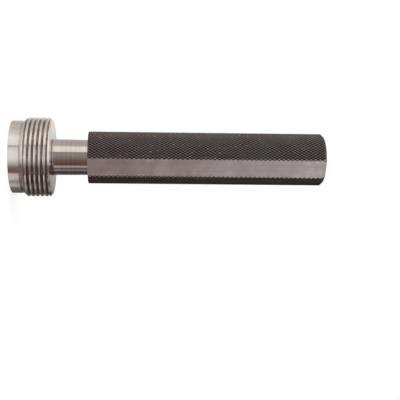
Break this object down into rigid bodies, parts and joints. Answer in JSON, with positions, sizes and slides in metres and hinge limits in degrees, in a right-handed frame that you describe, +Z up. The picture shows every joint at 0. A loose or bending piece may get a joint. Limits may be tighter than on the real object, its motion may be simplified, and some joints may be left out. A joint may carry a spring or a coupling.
{
  "type": "thread plug gauge",
  "caption": "Not-go thread plug gauge: a ground steel head with plain pilot and left-hand fine thread on a taper shank, pressed into a blackened knurled handle with a milled flat.",
  "frame": {"origin": "middle of the pilot's end face, on which the gauge stands", "axes": "+Z up the common axis towards the handle's tail; -Y out of the milled flat on the handle"},
  "size_m": [0.0266, 0.0266, 0.1045],
  "materials": {
    "ground_steel": "fine ground, bright, light circumferential lines",
    "black_steel": "black oxide on a diamond knurl, the milled flat left bright"
  },
  "bodies": {
    "root": {"gauging_member": "ground_steel", "handle": "black_steel"}
  },
  "joints": []
}
